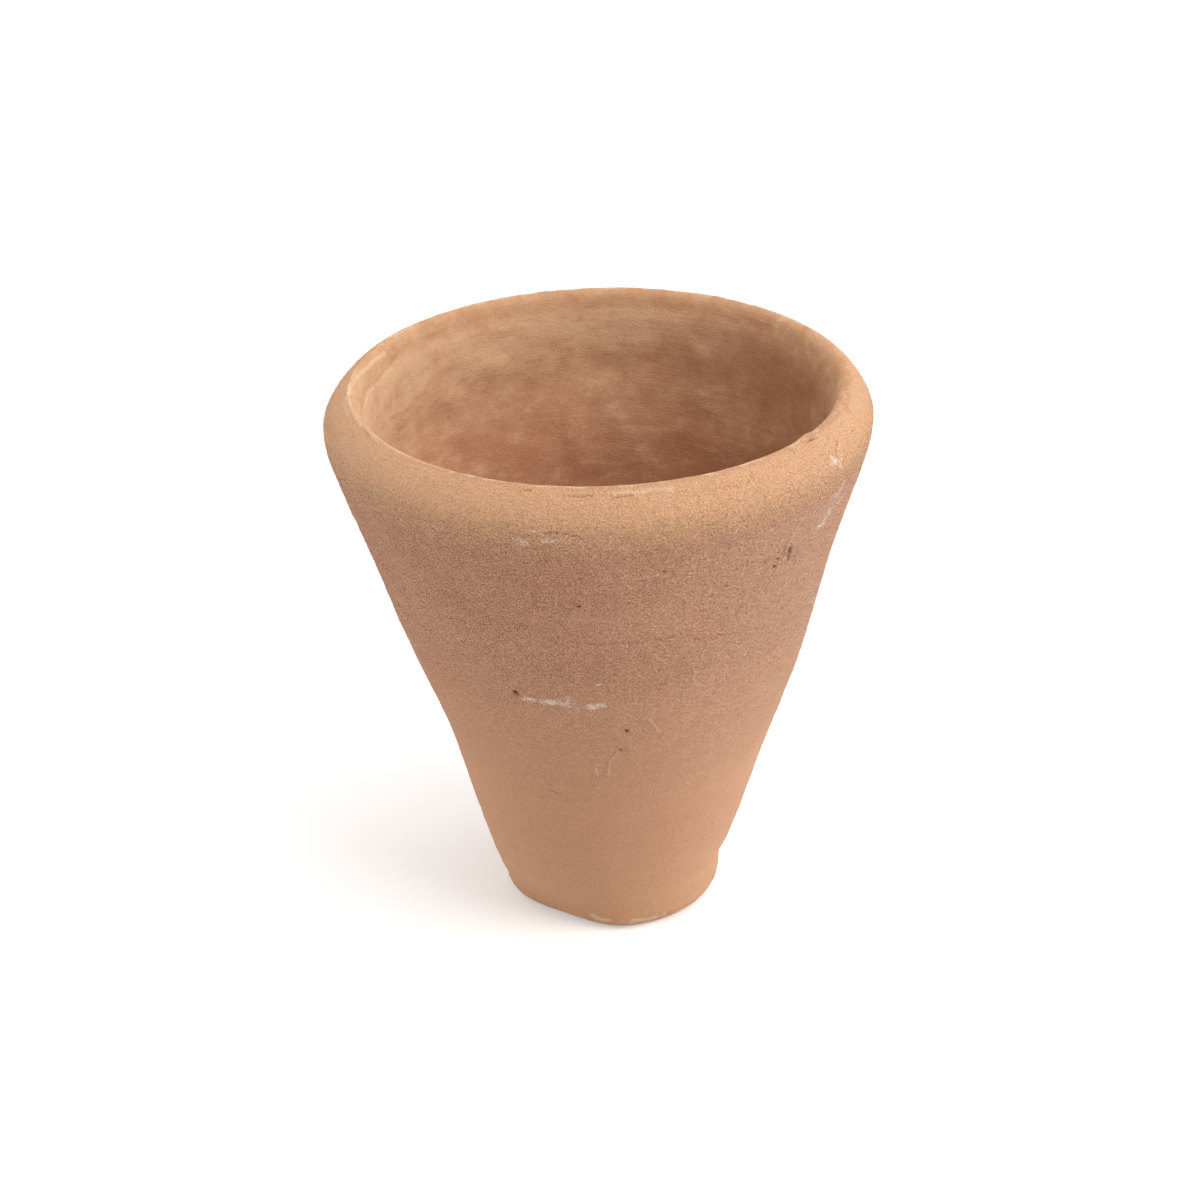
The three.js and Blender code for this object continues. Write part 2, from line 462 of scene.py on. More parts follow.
# %% Named inputs of the turning tree
turning = bpy.data.node_groups.new("turn_the_pot", "GeometryNodeTree")
turning.interface.new_socket("Outline", in_out="INPUT", socket_type="NodeSocketGeometry")
turning.interface.new_socket("Pot", in_out="OUTPUT", socket_type="NodeSocketGeometry")
POT_SIZES = {
    "Columns": 328,
    "Oval": oval,
    "Bow": 0.36 * MM, "Bow Pitch": 64 * MM, "Bow Start": 16 * MM,
    "Flat": 1.6 * MM, "Flat Top": 10 * MM,
    "Flat Angle": math.radians(236), "Flat Span": math.radians(46),
    "Groove": 0.5 * MM, "Groove Height": 6.1 * MM, "Groove Reach": 3 * MM,
    "Groove Angle": math.radians(-15), "Groove Span": math.radians(75),
    "Foot Lean": 0.4 * MM, "Foot Lean Top": 8 * MM,
    "Slow Wobble": 0.3 * MM, "Throwing Lines": 0.13 * MM, "Sand": 0.09 * MM,
    "Finger Rings": 0.45 * MM, "Finger Dents": 0.95 * MM, "Lip Wear": 0.25 * MM,
    "Wire Cut": 0.2 * MM, "Wall Balance": 0.26 * MM, "Roll Quiet": 0.75,
}
sockets = {}
for name, value in POT_SIZES.items():
    kind = "NodeSocketInt" if isinstance(value, int) else "NodeSocketFloat"
    sockets[name] = turning.interface.new_socket(name, in_out="INPUT", socket_type=kind)
sockets["Clay"] = turning.interface.new_socket(
    "Clay", in_out="INPUT", socket_type="NodeSocketMaterial"
)
given = add_node(turning, "NodeGroupInput").outputs
print("inputs of the turning tree:", len(POT_SIZES))

# %% Carry the outline round the wheel
FULL_TURN = math.tau
profile = add_node(turning, "GeometryNodeMeshToCurve", {"Mesh": given["Outline"]})
wheel = add_node(
    turning, "GeometryNodeCurvePrimitiveCircle", {"Resolution": given["Columns"], "Radius": 1.0},
    mode="RADIUS",
)
place_on_wheel = add_node(turning, "GeometryNodeInputIndex")
share = add_node(turning, "ShaderNodeMath", (place_on_wheel, given["Columns"]), operation="DIVIDE")
wheel_turn = add_node(turning, "ShaderNodeMath", (share, FULL_TURN), operation="MULTIPLY")
marked_wheel = add_node(
    turning, "GeometryNodeStoreNamedAttribute",
    {"Geometry": wheel.outputs["Curve"], "Name": "turn", "Value": wheel_turn},
    data_type="FLOAT", domain="POINT",
)
swept = add_node(
    turning, "GeometryNodeCurveToMesh", {"Curve": marked_wheel, "Profile Curve": profile}
)
skin = add_node(turning, "GeometryNodeFlipFaces", {"Mesh": swept})  # to face outwards
zone = {
    name: add_node(
        turning, "GeometryNodeInputNamedAttribute", {"Name": name}, data_type="FLOAT"
    ).outputs["Attribute"]
    for name in [*zones, "turn"]
}

# %% Work out the place of each point
RECIPE = (
    # result, operation, and what goes in: a number, an input, a zone or an earlier result
    # the flat side of the foot, which fades out round the pot and up it
    ("flat turned", "SUBTRACT", "turn", "Flat Angle"),
    ("flat wrapped", "WRAP", "flat turned", FULL_TURN / 2, -FULL_TURN / 2),
    ("flat away", "ABSOLUTE", "flat wrapped"),
    ("flat round", "FADE", "flat away", "Flat Span", 1.0),
    ("flat up", "FADE", "up", "Flat Top", 1.0),
    ("flat share", "MULTIPLY", "flat round", "flat up"),
    ("flat loss", "MULTIPLY", "flat share", "Flat"),
    # the groove above the foot, which fades out to both sides of its height too
    ("groove turned", "SUBTRACT", "turn", "Groove Angle"),
    ("groove wrapped", "WRAP", "groove turned", FULL_TURN / 2, -FULL_TURN / 2),
    ("groove away", "ABSOLUTE", "groove wrapped"),
    ("groove round", "FADE", "groove away", "Groove Span", 1.0),
    ("groove raised", "SUBTRACT", "up", "Groove Height"),
    ("groove above", "ABSOLUTE", "groove raised"),
    ("groove up", "FADE", "groove above", "Groove Reach", 1.0),
    ("groove share", "MULTIPLY", "groove round", "groove up"),
    ("groove loss", "MULTIPLY", "groove share", "Groove"),
    # both come off the outside alone
    ("loss", "ADD", "flat loss", "groove loss"),
    ("outer loss", "MULTIPLY", "loss", "outside"),
    ("pressed", "SUBTRACT", "from_axis", "outer loss"),
    # the bow of the centre line, and the lean of the foot
    ("raised", "SUBTRACT", "up", "Bow Start"),
    ("waves", "DIVIDE", "raised", "Bow Pitch"),
    ("bow turn", "MULTIPLY", "waves", FULL_TURN),
    ("bow sine", "SINE", "bow turn"),
    ("bow", "MULTIPLY", "bow sine", "Bow"),
    ("foot lean", "FADE", "up", "Foot Lean Top", "Foot Lean"),
    ("lean", "ADD", "bow", "foot lean"),
    # the radius turned to its direction, a little wider along x than along y
    ("cosine", "COSINE", "turn"),
    ("sine", "SINE", "turn"),
    ("across", "MULTIPLY", "pressed", "cosine"),
    ("deep", "MULTIPLY", "pressed", "sine"),
    ("wide", "ADD", 1.0, "Oval"),
    ("narrow", "SUBTRACT", 1.0, "Oval"),
    ("x", "MULTIPLY_ADD", "across", "wide", "lean"),
    ("y", "MULTIPLY", "deep", "narrow"),
)
worked_out = {**zone, **{name: given[name] for name in POT_SIZES}}
for result, operation, *goes_in in RECIPE:
    feeds = [worked_out.get(feed, feed) for feed in goes_in]
    if operation == "FADE":  # from a start at 0 smoothly down to 0 at the reach
        value, reach, start = feeds
        worked_out[result] = add_node(
            turning, "ShaderNodeMapRange",
            {"Value": value, "From Max": reach, "To Min": start, "To Max": 0.0},
            interpolation_type="SMOOTHSTEP",
        )
    else:
        worked_out[result] = add_node(turning, "ShaderNodeMath", feeds, operation=operation)
print("steps worked out:", len(RECIPE))

# %% Set each point at its place
place = add_node(turning, "ShaderNodeCombineXYZ", (worked_out["x"], worked_out["y"], zone["up"]))
turned_pot = add_node(turning, "GeometryNodeSetPosition", {"Geometry": skin, "Position": place})

# %% [markdown]
# ## Finger lines, dents and wear
#
# Each line of the table below is one kind of mark: which zone it is in, how deep it goes, how
# long it is round the pot and up it, and how rough it is. A noise with those two lengths is
# made for each, its depths are added up, and the skin is sunk along its own normal. The wall is
# raised first by about half of what its marks take away, so it keeps its size.

# %% Sink the finger lines into the clay
MARKS = {
    # depth, zone, length round the pot, length up it, detail
    "slow wobble of the wall": ("Slow Wobble", "outside", 26, 21, 1.0),
    "throwing lines": ("Throwing Lines", "outside", 34, 1.9, 2.0),
    "open sandy skin": ("Sand", "outside", 1.3, 1.1, 1.0),
    "finger rings inside": ("Finger Rings", "fingered", 42, 5.5, 1.0),
    "finger dents inside": ("Finger Dents", "fingered", 7, 4.5, 2.0),
    "worn lip": ("Lip Wear", "lip", 2.2, 2.0, 4.0),
    "drag of the cutting wire": ("Wire Cut", "standing", 1.5, 30, 1.0),
}
NOISE_LOW, NOISE_HIGH = 0.25, 0.75  # nearly all of a noise lies between these
NOISE_ROUGHNESS = 0.5


def waves_per_metre(round_size, up_size):
    """How often a noise of this size in millimetres repeats, along x, y and z."""
    return (1 / (round_size * MM), 1 / (round_size * MM), 1 / (up_size * MM))


here = add_node(turning, "GeometryNodeInputPosition")
quiet_roll = add_node(
    turning, "ShaderNodeMath", (zone["roll"], given["Roll Quiet"]), operation="MULTIPLY"
)
wall_share = add_node(turning, "ShaderNodeMath", (1.0, quiet_roll), operation="SUBTRACT")
wall_only = add_node(
    turning, "ShaderNodeMath", (zone["outside"], zone["roll"]), operation="SUBTRACT",
    use_clamp=True,
)
raised_wall = add_node(
    turning, "ShaderNodeMath", (wall_only, given["Wall Balance"]), operation="MULTIPLY"
)
sunk = add_node(turning, "ShaderNodeMath", (raised_wall, -1.0), operation="MULTIPLY")
for depth, zone_name, round_length, up_length, detail in MARKS.values():
    stretched = add_node(
        turning, "ShaderNodeVectorMath", (here, waves_per_metre(round_length, up_length)),
        operation="MULTIPLY",
    )
    noise = add_node(
        turning, "ShaderNodeTexNoise",
        {"Vector": stretched, "Scale": 1.0, "Detail": detail, "Roughness": NOISE_ROUGHNESS},
    )
    spread = add_node(
        turning, "ShaderNodeMapRange",
        {"Value": noise, "From Min": NOISE_LOW, "From Max": NOISE_HIGH},
    )
    quieter = add_node(turning, "ShaderNodeMath", (spread, wall_share), operation="MULTIPLY")
    in_zone = add_node(
        turning, "ShaderNodeMath",
        (spread if zone_name == "lip" else quieter, zone[zone_name]),
        operation="MULTIPLY",
    )
    sunk = add_node(
        turning, "ShaderNodeMath", (in_zone, given[depth], sunk), operation="MULTIPLY_ADD"
    )
clear_of_rest = add_node(turning, "ShaderNodeMath", (1.0, zone["standing"]), operation="SUBTRACT")
off_rest = add_node(turning, "ShaderNodeMath", (sunk, clear_of_rest), operation="MULTIPLY")
outward = add_node(turning, "GeometryNodeInputNormal")
inward = add_node(turning, "ShaderNodeMath", (off_rest, -1.0), operation="MULTIPLY")
sinking = add_node(
    turning, "ShaderNodeVectorMath", {0: outward, "Scale": inward}, operation="SCALE"
)
worked_pot = add_node(
    turning, "GeometryNodeSetPosition", {"Geometry": turned_pot, "Offset": sinking}
)
smooth_pot = add_node(turning, "GeometryNodeSetShadeSmooth", {"Geometry": worked_pot})
real_pot = add_node(turning, "GeometryNodeRealizeInstances", {"Geometry": smooth_pot})
clay_pot = add_node(
    turning, "GeometryNodeSetMaterial", {"Geometry": real_pot, "Material": given["Clay"]}
)
add_node(turning, "NodeGroupOutput", {"Pot": clay_pot})
print("turning nodes:", len(turning.nodes))

# %% [markdown]
# ## Unglazed terracotta
#
# The clay is a common red earthenware, thrown on a wheel and fired once without a glaze. It is
# matt and porous, so it has almost no gloss. What the eye reads is its colour: pinkish brown in
# the body, more tan inside and on the roll where slip dried, browner deep inside, with soft
# clouds, fine lines round the pot from the fingers, and a sandy grain of about a quarter
# millimetre. Some washes are painted light and shade: painted shade under the roll, towards the
# foot, on the right of the inside by the mouth and under two small raised marks on the lip, a
# painted sheen on the right of the wall, a paler mouth inside on its lit left, partly slip, and a
# pale crest that is partly wear and partly a painted highlight. The zones come from the mesh and
# the patterns from noise in the object's own space, with each scale worked out from a size in
# millimetres.

# %% Terracotta colours
SCREEN_COLOURS = {
    "body": "d39e82", "clouded": "c99274", "shaded": "c28b72", "slip": "dbac84",
    "foot slip": "bf8f70", "bevel": "ca9d77", "inside": "d3a882", "mouth": "e0ba94",
    "heart": "bd8c6b", "mottled": "e6bf9b", "stained": "b5714f", "line": "8f5f47",
    "sand": "ecc9a5", "hollow": "965f45", "dusty": "e0bda3", "worn": "f3dcc0",
    "pit": "4a2c20", "lime": "f0e2d6",
}
COLOURS = {name: linear(shown) for name, shown in SCREEN_COLOURS.items()}
print("terracotta colours:", len(COLOURS))

# %% [markdown]
# ## Patterns in the clay
#
# Each pattern below is one noise with its own size round the pot and up it, from measured
# marks: clouds of a centimetre or more where the fire and the slip varied, finger lines long
# and thin, ragged edges of a few millimetres, and sandy grain. The real sand is about 0.2 mm;
# it is drawn a little coarser, so that it shows in the picture.

# %% Make the patterns
PATTERNS = {
    # size round the pot and up it in millimetres, detail, roughness, distortion
    "clouds": (14, 11, 3.0, 0.55, 0.4),
    "small clouds": (5.0, 3.6, 3.0, 0.55, 0.8),
    "lines": (24, 0.8, 3.0, 0.6, 0.0),
    "ragged": (2.4, 1.1, 3.0, 0.65, 0.2),
    "grain": (0.29, 0.21, 2.0, 0.6, 0.2),
    "fine grain": (0.17, 0.14, 1.0, 0.5, 0.0),
    "crumbs": (0.5, 0.4, 3.0, 0.7, 0.0),
}
clay = bare_material("unglazed_terracotta")
clay_tree = clay.node_tree
spot = add_node(clay_tree, "ShaderNodeTexCoord").outputs["Object"]
apart = add_node(clay_tree, "ShaderNodeSeparateXYZ", (spot,)).outputs
readings = {"height": apart["Z"], "right side": apart["X"]}
for name in ("outside", "inside", "roll", "crest", "bevel", "lime", "worn", "pit"):
    readings[name] = add_node(clay_tree, "ShaderNodeAttribute", attribute_name=name).outputs["Fac"]
for name, (round_size, up_size, detail, roughness, distortion) in PATTERNS.items():
    stretched = add_node(
        clay_tree, "ShaderNodeVectorMath", (spot, waves_per_metre(round_size, up_size)),
        operation="MULTIPLY",
    )
    readings[name] = add_node(
        clay_tree, "ShaderNodeTexNoise",
        {"Vector": stretched, "Scale": 1.0, "Detail": detail,
         "Roughness": roughness, "Distortion": distortion},
    )
print("patterns and zones:", len(readings))

# %% [markdown]
# ## Where the skin is rough
#
# The skin is open and sandy on the outside. It is rubbed smooth inside, towards the foot and a
# little on the crest of the roll, and one number from 0 to 1 says so for the steps below.

# %% Read how rough the skin is
FOOT_ROUGH, FOOT_SMOOTH = 48 * MM, 22 * MM  # heights
TOP_ROUGH, TOP_SMOOTH = 70.5 * MM, 74.5 * MM
TOP_SHARE = 0.45  # how smooth the top is at most
LEAST_ROUGH = 0.3

smooth_parts = add_node(
    clay_tree, "ShaderNodeMath", (1.0, readings["outside"]), operation="SUBTRACT"
)
smooth_foot = add_node(
    clay_tree, "ShaderNodeMapRange",
    {"Value": readings["height"], "From Min": FOOT_ROUGH, "From Max": FOOT_SMOOTH},
)
smooth_top = add_node(
    clay_tree, "ShaderNodeMapRange",
    {"Value": readings["height"], "From Min": TOP_ROUGH, "From Max": TOP_SMOOTH,
     "To Max": TOP_SHARE},
)
smooth_ends = add_node(clay_tree, "ShaderNodeMath", (smooth_top, smooth_foot), operation="MAXIMUM")
smoothed = add_node(clay_tree, "ShaderNodeMath", (smooth_parts, smooth_ends), operation="MAXIMUM")
readings["rough"] = add_node(
    clay_tree, "ShaderNodeMapRange", {"Value": smoothed, "To Min": 1.0, "To Max": LEAST_ROUGH}
)
print("readings with the rough skin:", len(readings))

# %% [markdown]
# ## Where each colour shows
#
# A share says how much of a colour shows at a place, from 0 to 1. Each is read from one zone,
# height or pattern, begins at one value and is full at another. Its edge can be frayed by the
# ragged pattern, since slip never dries to a straight line.

# %% Make the shares
SHARES = {
    # what it is read from, where it begins, where it is full, how frayed its edge is; a height
    # and a right side are in metres
    "cloudy": ("clouds", 0.38, 0.66, 0),
    "soft cloudy": ("clouds", 0.15, 0.8, 0),
    "under the roll": ("height", 0.046, 0.060, 0.006),
    "slipped roll": ("roll", 0.1, 1.1, 0.5),
    "near the foot": ("height", 0.052, 0.030, 0.008),
    "at the foot": ("height", 0.018, 0.006, 0.006),
    "below the roll": ("roll", 0.6, 0.0, 0),
    "dusty side": ("right side", 0.006, 0.034, 0.012),
    "left of the right side": ("right side", 0.028, 0.008, 0.01),
    "shaded side": ("right side", 0.004, 0.026, 0.008),
    "within": ("inside", 0.0, 1.0, 0),
    "by the mouth": ("height", 0.063, 0.071, 0.006),
    "deep": ("height", 0.067, 0.055, 0.004),
    "pale blotch": ("small clouds", 0.54, 0.74, 0.15),
    "dark blotch": ("small clouds", 0.5, 0.28, 0.15),
    "ragged stain": ("ragged", 0.5, 0.3, 0),
    "ragged slip": ("ragged", 0.54, 0.72, 0),
    "lined": ("lines", 0.58, 0.8, 0),
    "sandy": ("grain", 0.48, 0.72, 0),
    "hollow": ("grain", 0.54, 0.3, 0),
    "bevelled": ("bevel", 0.0, 1.0, 0.3),
    "rubbed crest": ("crest", 0.55, 1.0, 0.9),
    "broken": ("small clouds", 0.44, 0.56, 0.6),
    "rubbed": ("worn", 0.12, 0.85, 0.5),
    "pitted": ("pit", 0.1, 0.9, 0),
    "limy": ("lime", 0.26, 0.7, 0.7),
    "crumbly": ("crumbs", 0.42, 0.54, 0),
    "rough": ("rough", 0.0, 1.0, 0),
}
NOISE_MIDDLE = 0.5
shares = {}
for name, (source, begins, full, fray) in SHARES.items():
    frayed = readings[source]
    if fray:
        offset = add_node(
            clay_tree, "ShaderNodeMath", (readings["ragged"], NOISE_MIDDLE), operation="SUBTRACT"
        )
        frayed = add_node(
            clay_tree, "ShaderNodeMath", (offset, fray, frayed), operation="MULTIPLY_ADD"
        )
    shares[name] = add_node(
        clay_tree, "ShaderNodeMapRange", {"Value": frayed, "From Min": begins, "From Max": full}
    )
print("shares:", len(shares))

# %% [markdown]
# ## Lay the colours over each other
#
# The body colour comes first and each line of the table lays one more over it, as washes of
# slip, stains, sand, wear and lime came on the real pot; a few washes are painted light and
# shade instead. A wash shows where all its shares do.

# %% The terracotta's colour
WASHES = (
    # colour, how strong, the shares that it shows in
    ("clouded", 0.9, ("cloudy",)),
    # painted shade: a darker band under the roll
    ("shaded", 0.7, ("under the roll", "soft cloudy")),
    ("slip", 1.0, ("slipped roll",)),
    # painted shade: the wall darker towards the foot
    ("foot slip", 1.0, ("near the foot",)),
    ("bevel", 0.5, ("at the foot",)),
    # painted sheen: the wall below the roll paler and greyer on the right, where the side light
    # grazes it
    ("dusty", 0.72, ("dusty side", "below the roll", "soft cloudy")),
    ("inside", 1.0, ("within",)),
    ("heart", 0.9, ("within", "deep")),
    ("stained", 0.3, ("within", "deep", "cloudy")),
    # partly slip, partly painted light: the inside by the mouth paler, but only left of the right
    # side, where the side light falls
    ("mouth", 0.8, ("within", "by the mouth", "left of the right side")),
    # painted shade: the inside by the mouth darker on the right, away from the side light
    ("stained", 0.4, ("within", "by the mouth", "shaded side")),
    ("bevel", 0.85, ("bevelled",)),
    ("mottled", 0.42, ("within", "pale blotch")),
    ("stained", 0.33, ("within", "dark blotch")),
    ("stained", 0.22, ("within", "ragged stain")),
    ("mottled", 0.22, ("within", "ragged slip")),
    ("line", 0.32, ("lined", "rough")),
    ("hollow", 0.34, ("hollow", "rough")),
    ("sand", 0.45, ("sandy", "rough")),
    # partly wear, partly a painted highlight along the crest
    ("worn", 0.3, ("rubbed crest", "broken", "crumbly")),
    ("worn", 0.55, ("rubbed",)),
    # dark in the pits, and painted shade under the bump in the lip and under the crust on it
    ("pit", 1.0, ("pitted",)),
    ("lime", 0.85, ("limy", "crumbly")),
)
colour = COLOURS["body"]
for name, strength, where in WASHES:
    together = strength
    for share in where:
        together = add_node(
            clay_tree, "ShaderNodeMath", (together, shares[share]), operation="MULTIPLY"
        )
    colour = add_node(
        clay_tree, "ShaderNodeMix", {0: together, 6: colour, 7: COLOURS[name]}, data_type="RGBA"
    ).outputs[2]
print("washes:", len(WASHES))

# %% [markdown]
# ## Grain, lines and gloss
#
# Light catches the sand and the finger lines, so both are relief for the shader: each turns
# the clay's facing a little. The depths are in millimetres, and deeper than the real ones,
# because relief this fine is smaller than a dot of the picture and would hardly show. Fired
# clay without a glaze is matt and porous, with a faint gloss only where light grazes it.

# %% The terracotta's relief and gloss
RELIEF = {
    # pattern: depth in millimetres, on the rough skin alone
    "grain": (0.58, True), "fine grain": (0.24, True), "lines": (0.26, True),
    "crumbs": (0.06, False),
}
GRAIN_LOW, GRAIN_HIGH = 0.3, 0.7
GLOSSIEST, DULLEST = 0.82, 0.95
DUSTY_SCATTER = 0.7
FAINT_GLOSS = 0.13
GRAZING_SHEEN = 0.12
SHEEN_COLOUR = linear("ffd2b0")

clay_facing = None
for name, (depth, on_rough) in RELIEF.items():
    feeds = {"Height": readings[name], "Strength": 1.0, "Distance": depth * MM}
    if on_rough:
        feeds["Strength"] = readings["rough"]
    if clay_facing:
        feeds["Normal"] = clay_facing
    clay_facing = add_node(clay_tree, "ShaderNodeBump", feeds)
dullness = add_node(
    clay_tree, "ShaderNodeMapRange",
    {"Value": readings["grain"], "From Min": GRAIN_LOW, "From Max": GRAIN_HIGH,
     "To Min": GLOSSIEST, "To Max": DULLEST},
)
surface = add_node(
    clay_tree, "ShaderNodeBsdfPrincipled",
    {"Base Color": colour, "Roughness": dullness, "Normal": clay_facing,
     "Diffuse Roughness": DUSTY_SCATTER, "Specular IOR Level": FAINT_GLOSS,
     "Sheen Weight": GRAZING_SHEEN, "Sheen Tint": SHEEN_COLOUR},
)
add_node(clay_tree, "ShaderNodeOutputMaterial", {"Surface": surface})
print("terracotta nodes:", len(clay_tree.nodes))

# %% [markdown]
# ## Turn the pot
#
# The tree is run on the outline with its named inputs, each set by its socket's identifier, and
# the result is kept as a plain mesh, so nothing live is left on the piece.

# %% Turn the pot
def plain_mesh(source, tree, values, name):
    """Runs a tree on a mesh with the given inputs, and keeps the result as a plain object."""
    carrier = add_object(name + "_source", source)
    modifier = carrier.modifiers.new(name, "NODES")
    modifier.node_group = tree
    for identifier, value in values.items():
        modifier[identifier] = value
    bpy.context.view_layer.update()
    evaluated = carrier.evaluated_get(bpy.context.evaluated_depsgraph_get())
    mesh = bpy.data.meshes.new_from_object(evaluated)
    mesh.name = name
    bpy.data.objects.remove(carrier)
    return add_object(name, mesh)


tree_values = {sockets[name].identifier: value for name, value in POT_SIZES.items()}
tree_values[sockets["Clay"].identifier] = clay
pot_body = plain_mesh(outline_mesh, turning, tree_values, "pot_body")


def inside_out(mesh):
    """True if the faces of a closed mesh point inwards."""
    volume = bmesh.new()
    volume.from_mesh(mesh)
    signed = volume.calc_volume(signed=True)
    volume.free()
    return signed < 0


print("faces:", len(pot_body.data.polygons), "inside out:", inside_out(pot_body.data))

# %% [markdown]
# ## Scars of the hand
#
# A pot like this one keeps what happened to it: pits where grit tore out, a slit beside the
# right edge, thin ridges of slurry, scratches, a nicked lip and broad soft places where a finger
# pressed. Painted on, they would look flat from every other side, so they are made as relief of
# the pot's own skin. Each is listed where the photograph shows it, in pixels, with its size in
# millimetres.

# %% Where the scars are
PITS = {
    # place, radius, depth, how dark
    "large pit left of the lime": ((514, 693), 0.4, 0.5, 0.9),
    "its tail": ((517, 695), 0.2, 0.3, 0.6),
    "pit under the lime": ((626, 731), 0.24, 0.35, 0.9),
    "second pit under the lime": ((620, 750), 0.2, 0.28, 0.6),
    "short pit under the roll": ((580, 579), 0.2, 0.12, 0.15),
    "pit in the middle": ((664, 572), 0.2, 0.25, 0.5),
    "pit right of the middle": ((725, 586), 0.18, 0.2, 0.5),
    "small pit above it": ((680, 560), 0.16, 0.12, 0.2),
    "pit on the left": ((578, 607), 0.16, 0.3, 1.0),
    "scar cluster, upper": ((777, 559), 0.24, 0.3, 0.6),
    "scar cluster, lower": ((774, 567), 0.3, 0.35, 0.8),
    "scar cluster, left": ((765, 562), 0.2, 0.2, 0.5),
    "faint pit on the right": ((767, 653), 0.2, 0.15, 0.25),
    "faint pit in the middle": ((632, 631), 0.16, 0.15, 0.3),
    "nick in the roll": ((750, 476), 0.25, 0.2, 0.3),
    "pit near the foot": ((710, 824), 0.35, 0.15, 0.2),
    "pit in the roll, right": ((858, 420), 0.2, 0.15, 0.25),
    "second pit in the roll, right": ((838, 399), 0.2, 0.15, 0.25),
}
CUTS = {
    # line, half width, depth
    "mouth's edge on the left": (
        ((396, 357), (380, 376), (367, 391), (362, 408), (362, 420), (369, 438)), 0.4, 0.1),
    "mouth's edge on the right": (((842, 424), (849, 400), (846, 386)), 0.4, 0.08),
    "long scratch right of the middle": (
        ((655, 640), (676, 637), (700, 639), (722, 635), (741, 632)), 0.15, 0.21),
    "vertical scratch above it": (((757, 606), (758, 611), (757, 616)), 0.2, 0.24),
    "scratch above the foot": (((549, 789), (558, 793), (567, 797)), 0.2, 0.15),
    "crack by the lip": (((568, 496), (580, 497), (592, 496)), 0.14, 0.3),
    "groove by the lip": (((705, 490), (722, 488), (741, 483)), 0.16, 0.18),
    "cup beside the groove": (((751, 472), (753, 478), (749, 483), (744, 484)), 0.16, 0.18),
    "nick left of the cracked lip": (((524, 491), (529, 490)), 0.2, 0.45),
    # painted shade: the dark under the crust, in a shallow cut
    "crust's dark underside": (((612, 498), (620, 498), (632, 496)), 0.15, 0.3),
    "crack under the roll": (((545, 534), (560, 533), (578, 537)), 0.14, 0.24),
    "throwing line, left": (((440, 615), (453, 618), (466, 621)), 0.15, 0.15),
    "throwing line, right of the left one": (((478, 622), (500, 625), (528, 626)), 0.14, 0.09),
    "throwing line under the pits": (((586, 643), (606, 645), (640, 642)), 0.14, 0.15),
    "streak above the star": (((838, 440), (837, 447), (836, 453)), 0.18, 0.3),
}
SLITS = {
    # line, half width, depth, how dark
    "slit beside the right edge": (((791, 547), (790, 553), (788, 560)), 0.2, 0.6, 1.0),
    # painted shadow under the bump in the lip, in a shallow groove
    "dark under the bump in the lip": (((807, 443), (816, 440)), 0.16, 0.2, 0.5),
}
RIDGES = {
    # line, half width, height
    "pale throwing line": (((600, 580), (640, 578), (680, 575), (707, 571)), 0.24, 0.12),
    "curl on the right": (((738, 612), (741, 621), (750, 627), (759, 624)), 0.22, 0.14),
    "lip of the slit": (((791, 542), (786, 547), (784, 556)), 0.26, 0.42),
    "smear beside the cluster": (((785, 560), (780, 568), (776, 574)), 0.4, 0.2),
    "curl of slurry": (((617, 752), (609, 762), (607, 778)), 0.22, 0.2),
    "upright ridge": (((685, 596), (686, 606), (685, 622)), 0.28, 0.17),
    "slanting ridge": (((648, 719), (654, 725), (659, 732)), 0.25, 0.2),
    "ridge in the middle": (((689, 664), (695, 672), (693, 680)), 0.22, 0.17),
    "short upright ridge": (((596, 768), (598, 778)), 0.22, 0.15),
    "crust on the lip": (((613, 494), (622, 494), (633, 492)), 0.3, 0.2),
    "second crust on the lip": (((649, 491), (660, 490), (672, 489)), 0.25, 0.14),
}
PRESSES = {
    # place, radius, depth, or height where it is negative
    "finger place on the left under the roll": ((380, 556), 9, 0.4),
    "bump in the lip": ((812, 440), 1.5, -0.6),
    "nicks in the lip": ((788, 453), 0.8, 0.3),
    "dent inside, left": ((507, 384), 2.0, 0.55),
    "bump above it": ((500, 368), 2.5, -0.5),
    "dent inside, far left": ((398, 397), 1.5, 0.35),
    "dent inside, right": ((716, 366), 2.2, 0.5),
    "bump inside, right": ((700, 358), 2.2, -0.4),
    "smear inside, middle": ((600, 400), 2.4, -0.3),
    "lump inside, low": ((575, 446), 2.4, -0.5),
    "hollow beside the lump": ((556, 440), 2.0, 0.5),
    "bump inside the right edge": ((822, 362), 0.9, -0.35),
    "second bump inside the right edge": ((828, 376), 0.9, -0.35),
    "third bump inside the right edge": ((815, 372), 0.8, -0.3),
}
FOOT_CHIPS = {
    "pale chip, left": (((592, 917), (600, 921), (609, 922)), 0.6, 0.45),
    "pale chip, right": (((634, 922), (646, 921), (658, 918)), 0.6, 0.45),
    "dark chip": (((660, 916), (667, 914)), 0.5, 0.5),
}
WORN_AND_HIGHLIT_EDGES = {
    # line, half width, how pale
    # partly wear, partly a painted highlight along the crest's edge
    "crest on the left": (
        ((384, 353), (372, 362), (360, 374), (350, 388), (345, 402), (348, 414)), 0.42, 0.75),
    "pale smear inside, middle": (((588, 399), (612, 398)), 0.9, 0.5),
    "pale smear beside the slit": (((791, 542), (786, 549), (784, 555)), 0.3, 0.5),
    "crusts on the lip": (((613, 494), (633, 492), (649, 491), (672, 489)), 0.35, 0.8),
}
